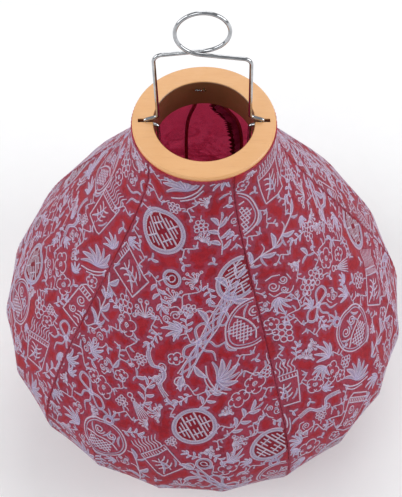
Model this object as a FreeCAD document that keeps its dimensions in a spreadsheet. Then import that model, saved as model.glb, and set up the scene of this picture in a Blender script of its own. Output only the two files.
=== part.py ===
"""Hanging silk lantern: two turned wooden rings, bent ribs, a sewn fabric cover and a bent wire frame.

Millimetres, +Z up. The origin is the centre of the bottom ring's lower face, the one the lantern
stands on. The top ring can be pressed down off the kinks of the wire frame that hold it.
"""
import FreeCAD, Part
import math
import os
import Sketcher

from FreeCAD import Placement, Rotation, Vector

Z_AXIS = Vector(0, 0, 1)

# Alias, value and meaning of each driving dimension, in millimetres or degrees.
SIZES = [
    ("lantern_height", 356, "base to the top ring's upper face"),
    ("belly_radius", 170.4, "axis to the ribs' outer faces at the widest height"),
    ("belly_height", 108, "base to the widest height"),
    ("hem_height", 14, "base to the ribs' outer faces where they reach the bottom ring"),
    ("hem_slope", 15, "angle of the ribs to the horizontal where they reach the bottom ring"),
    ("neck_fullness", 0.213, "share of the upper curve's height in its handle at the neck"),
    ("upper_fullness", 0.316, "share of the upper curve's height in its handle at the belly"),
    ("lower_fullness", 0.56, "share of the lower curve's height in its handle at the belly"),
    ("hem_fullness", 0.5, "share of the lower curve's reach in its handle at the hem"),
    ("bore_radius", 35, "bore of both rings"),
    ("ring_wall", 15, "bore to rim of both rings"),
    ("ring_height", 24, "height of both rings"),
    ("ring_bevel", 0.8, "bevel on the rings' edges"),
    ("rim_lip", 3.5, "top ring's wood above the ends of its rib slots"),
    ("binding_depth", 8.3, "top ring's upper face to its binding wire"),
    ("binding_thick", 0.9, "binding wire"),
    ("binding_room", 0.35, "groove and hole beyond the binding wire on each side"),
    ("tail_hole_radius", 1.4, "hole in the top ring's bore for the binding wire's tail"),
    ("tail_reach", 1.6, "binding wire's tail inside the bore"),
    ("panel_count", 5, "sewn fabric panels"),
    ("bays_per_panel", 4, "bays between ribs under one panel"),
    ("first_rib_angle", 5.5, "azimuth of the first rib, from +X"),
    ("rib_width", 3, "ribs, along the rings' rims"),
    ("rib_thick", 2.2, "ribs, across the curve"),
    ("slot_room", 0.2, "rib slots beyond the ribs on each face"),
    ("slot_depth", 7, "bottom ring's rib slots, from the rim"),
    ("groove_depth", 4.9, "bottom ring's binding groove, from the rim"),
    ("slot_floor", 9.5, "base to the floor of the bottom ring's rib slots"),
    ("top_rib_straight", 9, "ribs' straight ends in the top ring's slots"),
    ("fabric_thick", 0.4, "fabric"),
    ("fabric_gap", 0.4, "ribs' outer faces to the fabric's corners"),
    ("neck_gap", 0.45, "rings' rims to the flats of the fabric"),
    ("neck_drop", 3, "top ring's upper face to the fabric's edge"),
    ("flap_width", 8, "seam flaps, along the rim"),
    ("flap_gap", 0.3, "fabric to the seam flaps, and ribs to the flaps"),
    ("flap_start", 0.25, "share of the upper curve above a flap's top end"),
    ("flap_stop", 0.8, "share of the lower curve above a flap's bottom end"),
    ("wire_thick", 2.6, "wire frame"),
    ("leg_gap", 2.0, "top ring's bore to the legs"),
    ("notch_room", 0.3, "latch notches beyond the wire on each side"),
    ("kink_grip", 9.5, "bore wall to the corner of a latch kink"),
    ("kink_rise", 4.5, "top ring's upper face to the upper end of a kink"),
    ("kink_tip_drop", 1, "top ring's upper face down to the corner of a kink"),
    ("kink_drop", 5.5, "top ring's upper face down to the lower end of a kink"),
    ("foot_height", 9, "base to the feet of the wire frame"),
    ("foot_grip", 5, "bore wall to the end of a foot in its hole"),
    ("shoulder_rise", 63, "top ring's upper face to the shoulders"),
    ("shoulder_skew", 1.8, "left shoulder up and right shoulder down by this"),
    ("shoulder_shift", 1.2, "both shoulders towards -X, beyond the legs"),
    ("loop_rise", 68, "top ring's upper face to the wire at the foot of the hanging loop"),
    ("loop_radius", 17.4, "hanging loop, to the middle of the wire"),
    ("loop_shift", 1.2, "hanging loop's centre towards -X"),
    ("wire_bend", 3, "wire frame's bends at the legs"),
    ("kink_bend", 2, "wire frame's bend at a kink's corner"),
    ("shoulder_bend", 6, "wire frame's bends at the shoulders"),
]
LOOP_CORNERS = 12  # corners of the polygon round the hanging loop, each rounded to the loop's radius
LOOP_ROUNDING = 0.96  # of the loop's radius, which leaves short straights between the arcs

doc = FreeCAD.newDocument("silk_lantern")
sheet = doc.addObject("Spreadsheet::Sheet", "Sizes")
for row, (alias, value, meaning) in enumerate(SIZES, start=1):
    sheet.set(f"A{row}", alias)
    sheet.set(f"B{row}", str(value))
    sheet.set(f"C{row}", meaning)
    sheet.setAlias(f"B{row}", alias)
doc.recompute()


def size(alias):
    """One driving dimension as a plain number."""
    return float(getattr(sheet, alias))


bay_count = int(size("panel_count") * size("bays_per_panel"))
bay_angle = 360.0 / bay_count
rim_radius = size("bore_radius") + size("ring_wall")
top_ring_base = size("lantern_height") - size("ring_height")
binding_height = size("lantern_height") - size("binding_depth")
leg_radius = size("bore_radius") - size("leg_gap") - size("wire_thick") / 2


# ---------------------------------------------------------------- ribs' curve, as (radius, height)

flat_share = math.cos(math.radians(bay_angle / 2))  # a flat's distance over its corner's, from the axis
hem_slope = math.radians(size("hem_slope"))
hem_direction = Vector(-math.cos(hem_slope), -math.sin(hem_slope))
hem_normal = Vector(-hem_direction.y, hem_direction.x)  # away from the lantern's inside
neck_rib_radius = rim_radius - size("slot_room")
neck_height = size("lantern_height") - size("rim_lip") - size("slot_room") - size("top_rib_straight")
corner_clear_of_rim = (rim_radius + size("neck_gap")) / flat_share
HANDLE_STRETCH = 0.55  # how much a handle grows with an offset, so that the offset stays even


def upper_poles(offset, neck_offset):
    """Bezier poles from the neck to the belly, moved outwards."""
    rise = neck_height - size("belly_height")
    neck = Vector(neck_rib_radius + neck_offset, neck_height)
    belly = Vector(size("belly_radius") + offset, size("belly_height"))
    neck_handle = Vector(0, -size("neck_fullness") * rise + HANDLE_STRETCH * neck_offset)
    belly_handle = Vector(0, size("upper_fullness") * rise + HANDLE_STRETCH * offset)
    return [neck, neck + neck_handle, belly + belly_handle, belly]


def lower_poles(offset):
    """Bezier poles from the belly to the hem beside the bottom ring, moved outwards."""
    drop = size("belly_height") - size("hem_height")
    reach = size("belly_radius") - corner_clear_of_rim
    belly = Vector(size("belly_radius") + offset, size("belly_height"))
    hem = Vector(corner_clear_of_rim, size("hem_height")) + hem_normal * offset
    belly_handle = Vector(0, -size("lower_fullness") * drop - HANDLE_STRETCH * offset)
    hem_handle = hem_direction * -(size("hem_fullness") * reach + HANDLE_STRETCH * offset)
    return [belly, belly + belly_handle, hem + hem_handle, hem]


def in_bay_plane(point, azimuth):
    """A (radius, height) point in the upright plane through the axis at an azimuth."""
    angle = math.radians(azimuth)
    return Vector(point.x * math.cos(angle), point.x * math.sin(angle), point.y)


def bezier(poles, first=0.0, last=1.0):
    """Part of a Bezier curve, still in the (radius, height) plane."""
    curve = Part.BezierCurve()
    curve.setPoles(poles)
    if (first, last) != (0.0, 1.0):
        curve.segment(first, last)
    return curve


def as_edge(curve, azimuth, shift):
    """A flat Bezier curve or pair of points as an edge in the plane at an azimuth, moved by shift."""
    poles = curve.getPoles() if hasattr(curve, "getPoles") else curve
    placed = [in_bay_plane(pole, azimuth) + shift for pole in poles]
    if len(placed) == 2:
        return Part.LineSegment(*placed).toShape()
    return bezier(placed).toShape()


def closed_outline(outer, inner, azimuth=0.0, shift=Vector()):
    """Closed wire between two chains of curves that both run from the top to the bottom."""
    def end(chain, index):
        curve = chain[index]
        return (curve.getPoles() if hasattr(curve, "getPoles") else curve)[index]
    joins = [(end(outer, -1), end(inner, -1)), (end(inner, 0), end(outer, 0))]
    pieces = list(outer) + list(inner) + joins
    edges = [as_edge(piece, azimuth, shift) for piece in pieces]
    return Part.Wire(Part.__sortEdges__(edges))


def helper_wire(name, wire):
    """A wire that other features are built on, which is not a sub-part."""
    feature = doc.addObject("Part::Feature", name)
    feature.Shape = wire
    return feature


# ---------------------------------------------------------------- sketches

def origin_plane(body, role):
    return next(item for item in body.Origin.OriginFeatures if item.Role == role)


def attached_sketch(body, name, role):
    sketch = body.newObject("Sketcher::SketchObject", name)
    sketch.AttachmentSupport = [(origin_plane(body, role), "")]
    sketch.MapMode = "FlatFace"
    return sketch


def polygon(sketch, corners):
    """Closed polygon whose corners are pairs of expressions."""
    values = [[float(sketch.evalExpression(text)) for text in pair] for pair in corners]
    for index, (across, up) in enumerate(values):
        end = values[(index + 1) % len(values)]
        sketch.addGeometry(Part.LineSegment(Vector(across, up), Vector(*end)), False)
    for index in range(len(corners)):
        after = (index + 1) % len(corners)
        sketch.addConstraint(Sketcher.Constraint("Coincident", index, 2, after, 1))
    for index, pair in enumerate(corners):
        for kind, text, axis, value in zip(("DistanceX", "DistanceY"), pair, (-2, -1), values[index]):
            if text == "0":
                sketch.addConstraint(Sketcher.Constraint("PointOnObject", index, 1, axis))
                continue
            number = sketch.addConstraint(Sketcher.Constraint(kind, -1, 1, index, 1, value))
            sketch.setExpression(f"Constraints[{number}]", text)


def circle(sketch, up, radius):
    """Circle on the sketch's upright axis, at a height."""
    height = float(sketch.evalExpression(up))
    sketch.addGeometry(Part.Circle(Vector(0, height), Z_AXIS, float(sketch.evalExpression(radius))), False)
    sketch.addConstraint(Sketcher.Constraint("PointOnObject", 0, 3, -2))
    for kind, where, text, value in (
        ("DistanceY", (-1, 1, 0, 3), up, height),
        ("Radius", (0,), radius, float(sketch.evalExpression(radius))),
    ):
        number = sketch.addConstraint(Sketcher.Constraint(kind, *where, value))
        sketch.setExpression(f"Constraints[{number}]", text)


def pocket(body, name, sketch, length, reversed_side=False, both_sides=False):
    feature = body.newObject("PartDesign::Pocket", name)
    feature.Profile = sketch
    feature.Reversed = reversed_side
    feature.Midplane = both_sides
    feature.setExpression("Length", length)
    sketch.Visibility = False
    return feature


def round_pattern(body, feature, count):
    """Repeats a cut evenly round the ring's axis."""
    pattern = body.newObject("PartDesign::PolarPattern", feature.Name + "_pattern")
    pattern.Originals = [feature]
    pattern.Axis = (origin_plane(body, "Z_Axis"), [""])
    pattern.Angle = 360
    pattern.setExpression("Occurrences", count)
    body.Tip = pattern
    return pattern


# ---------------------------------------------------------------- rings

WHOLE_RIM = "(Sizes.bore_radius + Sizes.ring_wall)"
SLOT_WIDTH = "(Sizes.rib_width + 2 * Sizes.slot_room)"


def turned_ring(name, groove_height, groove_depth):
    """A ring turned from a blank, with bevelled edges and a groove in its rim for the binding wire."""
    body = doc.addObject("PartDesign::Body", name)
    half_groove = "(Sizes.binding_thick / 2 + Sizes.binding_room)"
    profile = attached_sketch(body, name + "_profile", "XZ_Plane")
    bore, height, bevel = "Sizes.bore_radius", "Sizes.ring_height", "Sizes.ring_bevel"
    polygon(profile, [
        (f"{bore} + {bevel}", "0"),
        (f"{WHOLE_RIM} - {bevel}", "0"),
        (WHOLE_RIM, bevel),
        (WHOLE_RIM, f"{groove_height} - {half_groove}"),
        (f"{WHOLE_RIM} - {groove_depth}", f"{groove_height} - {half_groove}"),
        (f"{WHOLE_RIM} - {groove_depth}", f"{groove_height} + {half_groove}"),
        (WHOLE_RIM, f"{groove_height} + {half_groove}"),
        (WHOLE_RIM, f"{height} - {bevel}"),
        (f"{WHOLE_RIM} - {bevel}", height),
        (f"{bore} + {bevel}", height),
        (bore, f"{height} - {bevel}"),
        (bore, bevel),
    ])
    turned = body.newObject("PartDesign::Revolution", name + "_turned")
    turned.Profile = profile
    turned.ReferenceAxis = (profile, ["V_Axis"])
    turned.Angle = 360
    return body


def rim_slots(body, floor_depth, base, length, upwards):
    """Slots in the rim for the rib ends, one in line with each rib."""
    sketch = attached_sketch(body, body.Name + "_slot", "XY_Plane")
    sketch.setExpression("AttachmentOffset.Rotation.Angle", "Sizes.first_rib_angle")
    sketch.setExpression("AttachmentOffset.Base.z", base)
    inside, outside = f"{WHOLE_RIM} - {floor_depth}", f"{WHOLE_RIM} + Sizes.slot_depth"
    polygon(sketch, [
        (inside, f"-{SLOT_WIDTH} / 2"),
        (outside, f"-{SLOT_WIDTH} / 2"),
        (outside, f"{SLOT_WIDTH} / 2"),
        (inside, f"{SLOT_WIDTH} / 2"),
    ])
    slot = pocket(body, body.Name + "_rib_slot", sketch, length, reversed_side=upwards)
    round_pattern(body, slot, "Sizes.panel_count * Sizes.bays_per_panel")


TOP_GROOVE = "(Sizes.ring_height - Sizes.binding_depth)"
TOP_SLOT_DEPTH = "(Sizes.rib_thick + 2 * Sizes.slot_room)"

top_ring = turned_ring("top_ring", TOP_GROOVE, TOP_SLOT_DEPTH)
top_ring.setExpression("Placement.Base.z", "Sizes.lantern_height - Sizes.ring_height")
rim_slots(top_ring, TOP_SLOT_DEPTH, "0", "Sizes.ring_height - Sizes.rim_lip", upwards=True)

notch_sketch = attached_sketch(top_ring, "latch_notch_sketch", "XY_Plane")
notch_sketch.setExpression("AttachmentOffset.Base.z", "Sizes.ring_height")
NOTCH_END = "(Sizes.bore_radius + Sizes.kink_grip + Sizes.wire_thick / 2)"
HALF_NOTCH = "(Sizes.wire_thick / 2 + Sizes.notch_room)"
polygon(notch_sketch, [
    ("Sizes.bore_radius - Sizes.leg_gap", f"-{HALF_NOTCH}"),
    (NOTCH_END, f"-{HALF_NOTCH}"),
    (NOTCH_END, HALF_NOTCH),
    ("Sizes.bore_radius - Sizes.leg_gap", HALF_NOTCH),
])
KINK_REACH = "(Sizes.leg_gap + Sizes.wire_thick / 2 + Sizes.kink_grip)"
KINK_SLOPE = f"((Sizes.kink_drop - Sizes.kink_tip_drop) / {KINK_REACH})"
WIRE_AT_BORE = f"(Sizes.kink_drop - {KINK_SLOPE} * (Sizes.leg_gap + Sizes.wire_thick / 2))"
WIRE_UNDERSIDE = f"({WIRE_AT_BORE} + Sizes.wire_thick / 2 * sqrt(1 + {KINK_SLOPE} ^ 2))"
notch = pocket(top_ring, "latch_notch", notch_sketch, f"{WIRE_UNDERSIDE} + Sizes.notch_room")
round_pattern(top_ring, notch, "2")

tail_sketch = attached_sketch(top_ring, "tail_hole_sketch", "XZ_Plane")
circle(tail_sketch, TOP_GROOVE, "Sizes.tail_hole_radius")
tail_hole = pocket(top_ring, "tail_hole", tail_sketch, f"{WHOLE_RIM} - {TOP_SLOT_DEPTH} / 2")
top_ring.Tip = tail_hole

bottom_binding = Vector(rim_radius - size("slot_depth") / 2, 0)  # its height follows from the ribs' slope
hem_corner = lower_poles(0)[-1]
rib_middle = hem_corner - hem_normal * (size("rib_thick") / 2)
into_slot = (rib_middle.x - bottom_binding.x) / -hem_direction.x
bottom_binding.y = rib_middle.y + hem_direction.y * into_slot

bottom_ring = turned_ring("bottom_ring", "Sizes.hem_height", "Sizes.groove_depth")
rim_slots(bottom_ring, "Sizes.slot_depth", "Sizes.ring_height",
          "Sizes.ring_height - Sizes.slot_floor", upwards=False)
foot_sketch = attached_sketch(bottom_ring, "foot_hole_sketch", "YZ_Plane")
circle(foot_sketch, "Sizes.foot_height", HALF_NOTCH)
foot_holes = pocket(bottom_ring, "foot_holes", foot_sketch,
                    "2 * (Sizes.bore_radius + Sizes.foot_grip + Sizes.notch_room)", both_sides=True)
bottom_ring.Tip = foot_holes


# ---------------------------------------------------------------- binding wires

def binding_torus(name, radius, height, thick):
    torus = doc.addObject("Part::Torus", name)
    torus.Radius1 = radius
    torus.setExpression("Radius2", thick)
    torus.Placement = Placement(Vector(0, 0, height), Rotation())
    return torus


top_binding_radius = neck_rib_radius - size("rib_thick") / 2
tail_end_radius = size("bore_radius") - size("tail_reach")
top_loop = binding_torus("top_binding_loop", top_binding_radius, binding_height, "Sizes.binding_thick / 2")
tail = doc.addObject("Part::Cylinder", "binding_tail")
tail.setExpression("Radius", "Sizes.binding_thick / 2")
tail.Height = top_binding_radius - tail_end_radius
tail.Placement = Placement(Vector(0, tail_end_radius, binding_height), Rotation(Vector(1, 0, 0), -90))
top_binding_wire = doc.addObject("Part::Fuse", "top_binding_wire")
top_binding_wire.Base = top_loop
top_binding_wire.Tool = tail
bottom_binding_wire = binding_torus("bottom_binding_wire", bottom_binding.x, bottom_binding.y,
                                    "Sizes.binding_thick / 2")

HOLE_IN_RIB = "Sizes.binding_thick / 2 + Sizes.slot_room / 2"
rib_holes = doc.addObject("Part::MultiFuse", "rib_holes")
rib_holes.Shapes = [
    binding_torus("top_rib_holes", top_binding_radius, binding_height, HOLE_IN_RIB),
    binding_torus("bottom_rib_holes", bottom_binding.x, bottom_binding.y, HOLE_IN_RIB),
]


# ---------------------------------------------------------------- ribs

def rib_side(offset):
    """One face of a rib, from the end in the top ring to the end in the bottom ring."""
    upper, lower = upper_poles(offset, offset), lower_poles(offset)
    top_end = upper[0] + Vector(0, size("top_rib_straight"))
    bottom_end = lower[-1] + hem_direction * (size("slot_depth") - size("slot_room") + size("neck_gap"))
    return [[top_end, upper[0]], bezier(upper), bezier(lower), [lower[-1], bottom_end]]


rib_outline = helper_wire("rib_outline", closed_outline(rib_side(0), rib_side(-size("rib_thick"))))
ribs = []
for index in range(bay_count):
    number = f"{index + 1:02d}"
    strip = doc.addObject("Part::Extrusion", "strip_" + number)
    strip.Base = rib_outline
    strip.Dir = Vector(0, 1, 0)
    strip.Solid = True
    strip.Symmetric = True
    strip.setExpression("LengthFwd", "Sizes.rib_width")
    strip.Placement = Placement(Vector(), Rotation(Z_AXIS, size("first_rib_angle") + index * bay_angle))
    rib = doc.addObject("Part::Cut", "rib_" + number)
    rib.Base = strip
    rib.Tool = rib_holes
    ribs.append(rib)


# ---------------------------------------------------------------- fabric

def fabric_side(offset):
    """One face of the fabric along a rib, from the edge under the top ring's lip to the hem."""
    neck_offset = corner_clear_of_rim - neck_rib_radius + offset - size("fabric_gap")
    upper, lower = upper_poles(offset, neck_offset), lower_poles(offset)
    edge = Vector(upper[0].x, size("lantern_height") - size("neck_drop"))
    return [[edge, upper[0]], bezier(upper), bezier(lower)]


def loft(name, sections):
    """A solid through outlines, with straight cloth between each two."""
    solid = doc.addObject("Part::Loft", name)
    solid.Sections = [helper_wire(f"{name}_outline_{index}", wire) for index, wire in enumerate(sections)]
    solid.Solid = True
    solid.Ruled = True
    return solid


inner_fabric = fabric_side(size("fabric_gap"))
outer_fabric = fabric_side(size("fabric_gap") + size("fabric_thick"))
panels = []
for panel in range(int(size("panel_count"))):
    first = panel * int(size("bays_per_panel"))
    azimuths = [size("first_rib_angle") + (first + bay) * bay_angle
                for bay in range(int(size("bays_per_panel")) + 1)]
    outlines = [closed_outline(outer_fabric, inner_fabric, azimuth) for azimuth in azimuths]
    panels.append(loft(f"fabric_panel_{panel + 1}", outlines))


def flap_side(offset):
    """One face of a seam flap along its seam, clear of both rings."""
    upper = bezier(upper_poles(offset, offset), size("flap_start"), 1.0)
    return [upper, bezier(lower_poles(offset), 0.0, size("flap_stop"))]


flap_outside = size("fabric_gap") - size("flap_gap")
flaps = []
for panel in range(int(size("panel_count"))):
    seam = size("first_rib_angle") + panel * int(size("bays_per_panel")) * bay_angle
    along = Rotation(Z_AXIS, seam + 90 + bay_angle / 2).multVec(Vector(1, 0, 0))
    near = size("rib_width") / 2 + size("flap_gap")
    outlines = [closed_outline(flap_side(flap_outside), flap_side(flap_outside - size("fabric_thick")),
                               seam, along * reach) for reach in (near, near + size("flap_width"))]
    flaps.append(loft(f"seam_flap_{panel + 1}", outlines))


# ---------------------------------------------------------------- wire frame

def bent_path(corners):
    """Straight runs between corners, each rounded by an arc of its own radius."""
    start, edges = corners[0][0], []
    for index in range(1, len(corners) - 1):
        point, radius = corners[index]
        before = (corners[index - 1][0] - point).normalize()
        after = (corners[index + 1][0] - point).normalize()
        half_turn = (math.pi - before.getAngle(after)) / 2
        reach = radius * math.tan(half_turn)
        middle = point + (before + after).normalize() * (radius / math.cos(half_turn) - radius)
        arc_start, arc_end = point + before * reach, point + after * reach
        edges.append(Part.LineSegment(start, arc_start).toShape())
        edges.append(Part.Arc(arc_start, middle, arc_end).toShape())
        start = arc_end
    edges.append(Part.LineSegment(start, corners[-1][0]).toShape())
    return Part.Wire(edges)


def leg(side):
    """One side of the frame from its foot to its shoulder. Side is 1 at +X and -1 at -X."""
    top, bend = size("lantern_height"), size("wire_bend")
    kink = size("bore_radius") + size("kink_grip")
    shoulder = size("shoulder_rise") - side * size("shoulder_skew")
    places = [
        (size("bore_radius") + size("foot_grip"), size("foot_height"), 0),
        (leg_radius, size("foot_height"), bend),
        (leg_radius, top - size("kink_drop"), bend),
        (kink, top - size("kink_tip_drop"), size("kink_bend")),
        (leg_radius, top + size("kink_rise"), bend),
        (leg_radius - side * size("shoulder_shift"), top + shoulder, size("shoulder_bend")),
    ]
    return [(Vector(side * across, 0, height), radius) for across, height, radius in places]


def hanging_loop():
    """The loop, from the strand that passes in front at its foot round to the one behind."""
    foot = size("lantern_height") + size("loop_rise")
    turn = 2 * math.pi / LOOP_CORNERS
    strands_apart = size("wire_thick") * 1.25
    places = []
    for index in range(LOOP_CORNERS):
        angle = -math.pi / 2 - turn * (index + 0.5)
        reach = size("loop_radius") / math.cos(turn / 2)
        above_foot = reach * math.sin(angle) + size("loop_radius")
        behind = (index / (LOOP_CORNERS - 1) - 0.5) * strands_apart
        place = Vector(reach * math.cos(angle) - size("loop_shift"), behind, foot + above_foot)
        places.append((place, LOOP_ROUNDING * size("loop_radius")))
    return places


frame_path = helper_wire("frame_path", bent_path(leg(1) + hanging_loop() + leg(-1)[::-1]))
frame_section = doc.addObject("Part::Circle", "frame_section")
frame_section.setExpression("Radius", "Sizes.wire_thick / 2")
frame_section.Placement = Placement(leg(1)[0][0], Rotation(Vector(0, 1, 0), 90))
wire_frame = doc.addObject("Part::Sweep", "wire_frame")
wire_frame.Sections = [frame_section]
wire_frame.Spine = (frame_path, [f"Edge{index + 1}" for index in range(len(frame_path.Shape.Edges))])
wire_frame.Solid = True


# ---------------------------------------------------------------- checks and files

doc.recompute()
rings_and_wires = [top_ring, bottom_ring, top_binding_wire, bottom_binding_wire, wire_frame]
sub_parts = [*rings_and_wires, *ribs, *panels, *flaps]
for item in doc.Objects:
    if "Invalid" in item.State or "Error" in item.State:
        raise RuntimeError(f"{item.Name} failed: {item.State}")
os.makedirs("parts", exist_ok=True)
for item in sub_parts:
    if item.Shape.isNull() or not item.Shape.isValid() or item.Shape.Volume <= 0:
        raise RuntimeError(f"{item.Name} has no valid solid")
    item.Label = item.Name
    item.Shape.exportStep(f"parts/{item.Label}.step")
    print(f"{item.Label}: {len(item.Shape.Solids)} solid, {item.Shape.Volume:.1f} mm3")
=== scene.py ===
import math
import random

import bpy
import numpy as np
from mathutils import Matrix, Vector
from mathutils.kdtree import KDTree


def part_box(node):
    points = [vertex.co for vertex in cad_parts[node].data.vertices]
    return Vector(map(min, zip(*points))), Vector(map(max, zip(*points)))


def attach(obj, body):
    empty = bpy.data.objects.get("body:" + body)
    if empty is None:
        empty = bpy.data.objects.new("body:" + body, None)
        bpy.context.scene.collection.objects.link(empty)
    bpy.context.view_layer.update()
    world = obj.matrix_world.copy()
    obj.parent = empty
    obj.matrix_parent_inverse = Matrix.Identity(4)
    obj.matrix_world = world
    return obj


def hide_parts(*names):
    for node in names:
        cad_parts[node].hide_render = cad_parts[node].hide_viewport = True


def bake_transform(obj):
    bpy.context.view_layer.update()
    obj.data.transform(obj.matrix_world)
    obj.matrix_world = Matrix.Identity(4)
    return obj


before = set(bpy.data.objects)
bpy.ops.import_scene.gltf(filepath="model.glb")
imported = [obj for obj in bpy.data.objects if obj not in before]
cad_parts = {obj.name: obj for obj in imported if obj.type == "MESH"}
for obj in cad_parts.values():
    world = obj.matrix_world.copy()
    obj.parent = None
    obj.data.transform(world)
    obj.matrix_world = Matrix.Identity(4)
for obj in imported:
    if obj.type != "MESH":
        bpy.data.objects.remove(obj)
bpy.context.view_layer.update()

MM = 0.001
TAU = 2 * math.pi

# ---------------------------------------------------------------- the frame's own sizes, in mm

RING_LOW, RING_HIGH = [np.array(corner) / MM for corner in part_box("top_ring")]
RING_TOP, RING_BASE, RIM = RING_HIGH[2], RING_LOW[2], RING_HIGH[0]
BORE = 35.0
rib_points = np.array([v.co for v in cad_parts["rib_01"].data.vertices]) / MM
BELLY = float(np.hypot(rib_points[:, 0], rib_points[:, 1]).max())
BELLY_HEIGHT, HEM_HEIGHT = 108.0, 14.0
PANELS, BAYS = 5, 4
BAY = TAU / (PANELS * BAYS)
FIRST_RIB = math.radians(5.5)
HEM_SLOPE = math.radians(15)
RIB_WIDTH, RIB_THICK = 3.0, 2.2
CLOTH = 0.35
random.seed(20)


# ---------------------------------------------------------------- the ribs' curve and the cloth on it

def bezier(poles, count):
    t = np.linspace(0, 1, count)[:, None]
    a, b, c, d = [np.array(pole, float) for pole in poles]
    return (1 - t) ** 3 * a + 3 * (1 - t) ** 2 * t * b + 3 * (1 - t) * t * t * c + t ** 3 * d


def rib_curve(neck_radius, offset=0.0):
    """The curve that the ribs hold, as (radius, height) points from the top ring down to the hem."""
    neck = np.array([neck_radius, RING_TOP - 12.7])
    belly = np.array([BELLY + offset, BELLY_HEIGHT])
    clear_rim = (RIM + 0.45) / math.cos(BAY / 2)
    hem = np.array([clear_rim + offset * math.sin(HEM_SLOPE), HEM_HEIGHT - offset * math.cos(HEM_SLOPE)])
    rise, drop = neck[1] - BELLY_HEIGHT, BELLY_HEIGHT - HEM_HEIGHT
    handle = 0.5 * (BELLY - clear_rim)
    inward = np.array([math.cos(HEM_SLOPE), math.sin(HEM_SLOPE)])
    upper = bezier([neck, neck - [0, 0.213 * rise], belly + [0, 0.316 * rise], belly], 160)
    lower = bezier([belly, belly - [0, 0.56 * drop], hem + inward * handle, hem], 120)
    return np.vstack([upper, lower[1:]])


class Meridian:
    """A curve in the (radius, height) plane, read by its length from the top."""

    def __init__(self, points):
        steps = np.linalg.norm(np.diff(points, axis=0), axis=1)
        self.s = np.concatenate([[0.0], np.cumsum(steps)])
        self.points = points
        self.length = float(self.s[-1])
        slope = np.gradient(points, self.s, axis=0)
        slope /= np.linalg.norm(slope, axis=1)[:, None]
        self.normal = np.stack([-slope[:, 1], slope[:, 0]], axis=1)
        turn = np.gradient(np.arctan2(slope[:, 1], slope[:, 0]), self.s)
        self.bend = np.convolve(np.pad(turn, 12, mode="edge"), np.ones(25) / 25, mode="valid")

    def read(self, s, values):
        return np.interp(s, self.s, values)


EDGE_DROP = 3.0
cloth_curve = rib_curve(RIM + 0.7, 0.8)
CLOTH_LINE = Meridian(np.vstack([[RIM + 0.7, RING_TOP - EDGE_DROP], cloth_curve]))
ROUND_UNTIL, FLAT_FROM = 10.0, 42.0  # the cloth goes from round, on the rim, to flat between the ribs


def smooth(value, low, high):
    t = np.clip((value - low) / (high - low), 0, 1)
    return t * t * (3 - 2 * t)


def chord(s):
    """Width of a bay at a distance from the cloth's top edge."""
    return 2 * CLOTH_LINE.read(s, CLOTH_LINE.points[:, 0]) * math.sin(BAY / 2)


def cloth_point(panel, k, s, lift=0.0):
    """Points on the cloth. k counts bays across the panel from 0 to BAYS, s runs down from the top."""
    k, s = np.broadcast_arrays(np.asarray(k, float), np.asarray(s, float))
    inside = np.clip(k, 0, BAYS)
    bay = np.minimum(np.floor(inside), BAYS - 1)
    f = inside - bay
    start = FIRST_RIB + (panel * BAYS + bay) * BAY
    r, z = [CLOTH_LINE.read(s, CLOTH_LINE.points[:, axis]) for axis in (0, 1)]
    x = r * ((1 - f) * np.cos(start) + f * np.cos(start + BAY))
    y = r * ((1 - f) * np.sin(start) + f * np.sin(start + BAY))
    roundness = 1 - smooth(s, ROUND_UNTIL, FLAT_FROM)
    grow = 1 + roundness * (r / np.hypot(x, y) - 1)
    x, y = x * grow, y * grow
    nr, nz = [CLOTH_LINE.read(s, CLOTH_LINE.normal[:, axis]) for axis in (0, 1)]
    azimuth = start + f * BAY
    width = chord(s)
    hollow = np.clip(CLOTH_LINE.read(s, CLOTH_LINE.bend) * width ** 2 / 8 * 0.2, -0.9, 0.6)
    seam = np.minimum(inside, BAYS - inside) * width
    out = hollow * 4 * f * (1 - f) * (1 - roundness)
    out += 0.22 * (1 - roundness) * np.sin(s / 23 + 3 * panel) * np.sin(k * 2.9 + s / 41)
    out += 0.28 * np.exp(-seam / 4.5) * np.sin(s * TAU / 8.3 + 2.1 * np.sin(s / 31) + panel)
    out += 0.15 * np.exp(-s / 9) * np.sin(k * 31 + panel)
    out -= 0.5 * np.exp(-(seam / 0.6) ** 2)
    out *= smooth(CLOTH_LINE.length - s, 0, 25)
    out += lift
    return np.stack([x + out * nr * np.cos(azimuth), y + out * nr * np.sin(azimuth), z + out * nz], axis=-1)


# ------------------------------------------------------- figures of the brocade, in mm on flat cloth

LINE, FILL = 1.0, 0.35  # how light a stroke is


def through(points, step=1.5, closed=False):
    """A smooth line through points, as evenly spaced points."""
    p = np.array(points, float)
    n = len(p)
    if closed:
        q = np.vstack([p[-1:], p, p[:2]])
    else:
        q = np.vstack([2 * p[0] - p[1], p, 2 * p[-1] - p[-2]])
    rows = []
    for i in range(len(q) - 3):
        a, b, c, d = q[i:i + 4]
        count = max(2, int(np.linalg.norm(c - b) / step) + 1)
        t = np.linspace(0, 1, count, endpoint=False)[:, None]
        rows.append(0.5 * (2 * b + (c - a) * t + (2 * a - 5 * b + 4 * c - d) * t ** 2
                           + (3 * b - a - 3 * c + d) * t ** 3))
    rows.append(q[-2:-1])
    return np.vstack(rows)


def straight(points, step=2.0):
    p = np.array(points, float)
    rows = []
    for a, b in zip(p[:-1], p[1:]):
        count = max(1, int(np.linalg.norm(b - a) / step))
        rows.append(a + (b - a) * np.linspace(0, 1, count, endpoint=False)[:, None])
    rows.append(p[-1:])
    return np.vstack(rows)


STROKE_FINENESS = 0.7  # share of a stroke's drawn width that is woven


def stroke(points, width=0.9, tone=LINE, taper=False):
    t = np.linspace(0, 1, len(points))
    shape = np.sin(np.pi * np.clip(t, 0.04, 0.96)) ** 0.6 if taper else np.ones(len(points))
    widths = STROKE_FINENESS * width * shape
    return points, widths, tone


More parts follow.
